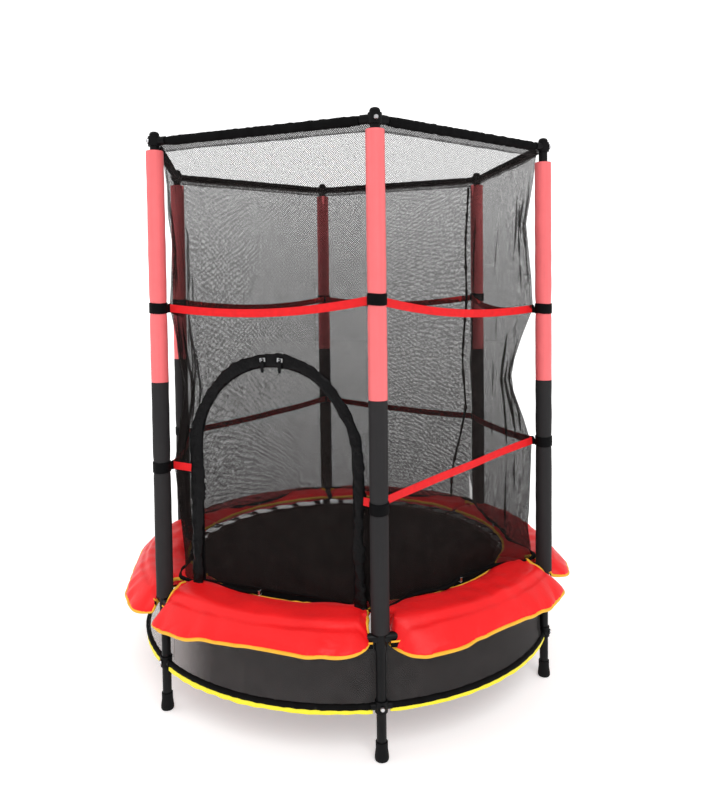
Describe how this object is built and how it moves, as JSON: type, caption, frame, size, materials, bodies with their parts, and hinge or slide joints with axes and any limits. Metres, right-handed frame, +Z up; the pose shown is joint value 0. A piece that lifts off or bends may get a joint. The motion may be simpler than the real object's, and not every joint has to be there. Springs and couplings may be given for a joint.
{
  "type": "trampoline",
  "caption": "Round children's trampoline on straight legs, with padded edge, mesh skirt and tall net enclosure with a zipped arched door.",
  "frame": {"origin": "on the floor under the centre of the bed, which is the centre of the bounding box's base", "axes": "+Z up along the posts; -Y towards the side with the door; +X to the right seen from the door"},
  "size_m": [1.427, 1.38, 1.606],
  "materials": {
    "black_steel": "satin",
    "charcoal_foam": "matte",
    "coral_foam": "matte",
    "red_cover": "satin",
    "net": "matte",
    "rubber": "matte",
    "black_plastic": "satin",
    "zinc": "satin",
    "black_fabric": "matte",
    "red_webbing": "satin",
    "skirt_mesh": "matte",
    "yellow_binding": "satin",
    "mat_weave": "matte"
  },
  "bodies": {
    "frame": {"leg_front_right": "black_steel", "post_front_right": "black_steel", "lower_sleeve_front_right": "charcoal_foam", "upper_sleeve_front_right": "coral_foam", "leg_right": "black_steel", "post_right": "black_steel", "lower_sleeve_right": "charcoal_foam", "upper_sleeve_right": "coral_foam", "leg_back_right": "black_steel", "post_back_right": "black_steel", "lower_sleeve_back_right": "charcoal_foam", "upper_sleeve_back_right": "coral_foam", "leg_back_left": "black_steel", "post_back_left": "black_steel", "lower_sleeve_back_left": "charcoal_foam", "upper_sleeve_back_left": "coral_foam", "leg_left": "black_steel", "post_left": "black_steel", "lower_sleeve_left": "charcoal_foam", "upper_sleeve_left": "coral_foam", "leg_front_left": "black_steel", "post_front_left": "black_steel", "lower_sleeve_front_left": "charcoal_foam", "upper_sleeve_front_left": "coral_foam", "pad_front_right": "red_cover", "net_front_right": "net", "pad_back_right": "red_cover", "net_back_right": "net", "pad_back": "red_cover", "net_back": "net", "pad_back_left": "red_cover", "net_back_left": "net", "pad_front_left": "red_cover", "net_front_left": "net", "pad_front": "red_cover", "net_front": "net", "rubber_feet": "rubber", "frame_ring": "black_steel", "lower_rods": "black_steel", "lower_connectors": "black_plastic", "top_rods": "black_steel", "top_connectors": "black_plastic", "post_caps": "black_plastic", "screws": "zinc", "net_top_hem": "black_fabric", "net_bottom_hem": "black_fabric", "upper_strap": "red_webbing", "lower_strap": "red_webbing", "strap_loops": "black_fabric", "skirt": "skirt_mesh", "skirt_trim": "yellow_binding", "elastic_loops": "black_fabric", "door_zip": "black_fabric"},
    "mat": {"jumping_mat": "mat_weave", "mat_rings": "zinc"},
    "door": {"door_net": "net"},
    "zip_slider_l": {"zip_slider_left": "zinc"},
    "zip_slider_r": {"zip_slider_right": "zinc"},
    "zip_pull_l": {"zip_pull_left": "black_plastic"},
    "zip_pull_r": {"zip_pull_right": "black_plastic"}
  },
  "joints": [
    {"name": "mat_bounce", "type": "slide", "parent": "frame", "child": "mat", "axis": [0, 0, 1], "range_m": [-0.16, 0.005], "stiffness_N_per_m": 4000, "springref_m": 0.0015, "deforming": ["elastic_loops"]},
    {"name": "door_hinge", "type": "hinge", "parent": "frame", "child": "door", "pos_m": [0.01, -0.5112, 0.363], "axis": [-1, 0, 0], "range_deg": [0, 88]},
    {"name": "zip_left", "type": "hinge", "parent": "frame", "child": "zip_slider_l", "pos_m": [0.01, -0.52, 0.744], "axis": [0, -1, 0], "range_deg": [0, 84]},
    {"name": "zip_right", "type": "hinge", "parent": "frame", "child": "zip_slider_r", "pos_m": [0.01, -0.52, 0.744], "axis": [0, 1, 0], "range_deg": [0, 84]},
    {"name": "pull_left", "type": "hinge", "parent": "zip_slider_l", "child": "zip_pull_l", "pos_m": [-0.01561, -0.5234, 0.98766], "axis": [0, 1, 0], "range_deg": [-90, 90]},
    {"name": "pull_right", "type": "hinge", "parent": "zip_slider_r", "child": "zip_pull_r", "pos_m": [0.03561, -0.5234, 0.98766], "axis": [0, 1, 0], "range_deg": [-90, 90]}
  ]
}
